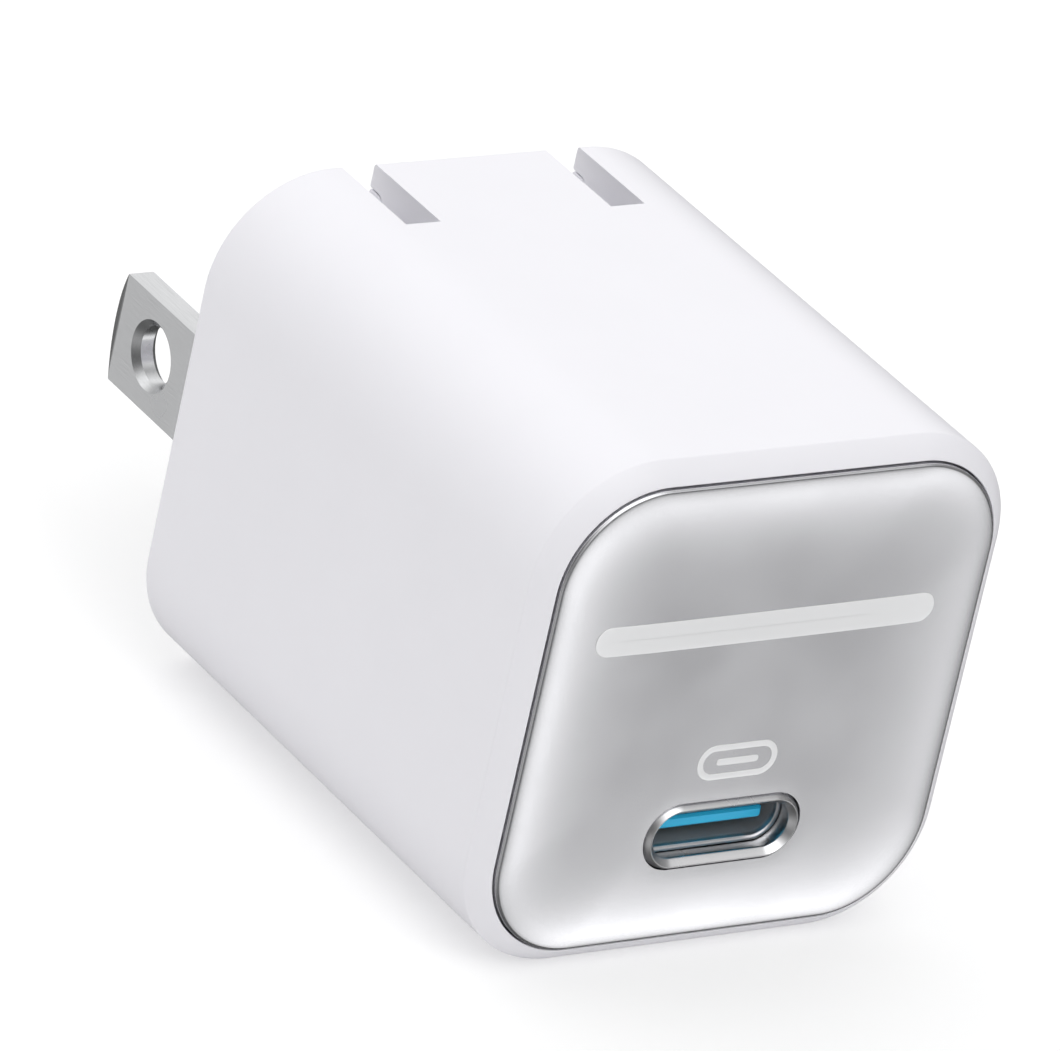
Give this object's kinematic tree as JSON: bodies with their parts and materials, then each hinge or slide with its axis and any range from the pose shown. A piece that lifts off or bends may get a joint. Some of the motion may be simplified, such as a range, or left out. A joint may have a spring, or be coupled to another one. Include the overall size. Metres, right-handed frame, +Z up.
{
  "type": "folding-plug usb-c wall charger",
  "caption": "Compact USB-C wall charger: rounded white shell, silver front plate with a polished port ring, and flat plug blades that fold up into slots in the top.",
  "frame": {"origin": "centre of the plug face, midway between the blades at the height of their centreline", "axes": "+Y out of the plug face along the blades, +Z up towards the face that the blades fold into, +X to the right seen from the front"},
  "size_m": [0.0288, 0.052, 0.0288],
  "materials": {
    "shell_white": "satin moulded plastic",
    "cover_white": "satin moulded plastic",
    "frame_grey": "matt moulded plastic",
    "panel_silver": "fine-grained satin silver",
    "ring_chrome": "polished",
    "port_steel": "drawn stainless steel",
    "tongue_blue": "moulded insulator",
    "contact_gold": "gold flash",
    "blade_nickel": "nickel-plated brass, satin",
    "hub_nylon": "moulded nylon",
    "spring_copper": "copper alloy strip",
    "board_green": "solder mask",
    "chip_black": "moulding compound",
    "capacitor_sleeve": "heat-shrunk sleeve",
    "capacitor_polymer": "moulded case",
    "film_yellow": "film capacitor case",
    "disc_blue": "dipped coating",
    "fuse_ceramic": "ceramic body",
    "ferrite_grey": "sintered ferrite",
    "winding_enamel": "enamelled copper wire",
    "winding_tape": "polyester tape over copper",
    "bobbin_black": "phenolic",
    "pad_grey": "silicone pad",
    "liner_film": "polyester film",
    "spreader_aluminium": "plain sheet"
  },
  "bodies": {
    "housing": {"main_shell": "shell_white", "rear_cover": "cover_white", "front_frame": "frame_grey", "front_panel": "panel_silver", "port_trim_ring": "ring_chrome", "usb_c_shell": "port_steel", "usb_c_tongue": "tongue_blue", "usb_c_contacts_upper": "contact_gold", "usb_c_contacts_lower": "contact_gold", "port_board": "board_green", "protocol_chip": "chip_black", "output_capacitor_1": "capacitor_polymer", "output_capacitor_2": "capacitor_polymer", "hinge_retainer": "hub_nylon", "contact_spring_left": "spring_copper", "contact_spring_right": "spring_copper", "detent_spring": "port_steel", "input_board": "board_green", "input_fuse": "fuse_ceramic", "surge_varistor": "disc_blue", "bridge_rectifier": "chip_black", "x_capacitor": "film_yellow", "y_capacitor": "disc_blue", "choke_core": "ferrite_grey", "choke_winding_a": "winding_enamel", "choke_winding_b": "winding_enamel", "bulk_capacitor_1": "capacitor_sleeve", "bulk_capacitor_2": "capacitor_sleeve", "bulk_capacitor_3": "capacitor_sleeve", "transformer_core_rear": "ferrite_grey", "transformer_core_front": "ferrite_grey", "transformer_bobbin": "bobbin_black", "transformer_winding": "winding_tape", "main_board": "board_green", "gan_power_chip": "chip_black", "sync_rectifier_chip": "chip_black", "thermal_pad": "pad_grey", "insulation_liner": "liner_film", "heat_spreader": "spreader_aluminium"},
    "blades": {"blade_left": "blade_nickel", "blade_right": "blade_nickel", "blade_carrier": "hub_nylon"}
  },
  "joints": [
    {"name": "blade_fold", "type": "hinge", "parent": "housing", "child": "blades", "pos_m": [0, -0.00159, -0.00169], "axis": [1, 0, 0], "range_deg": [0, 90]}
  ]
}
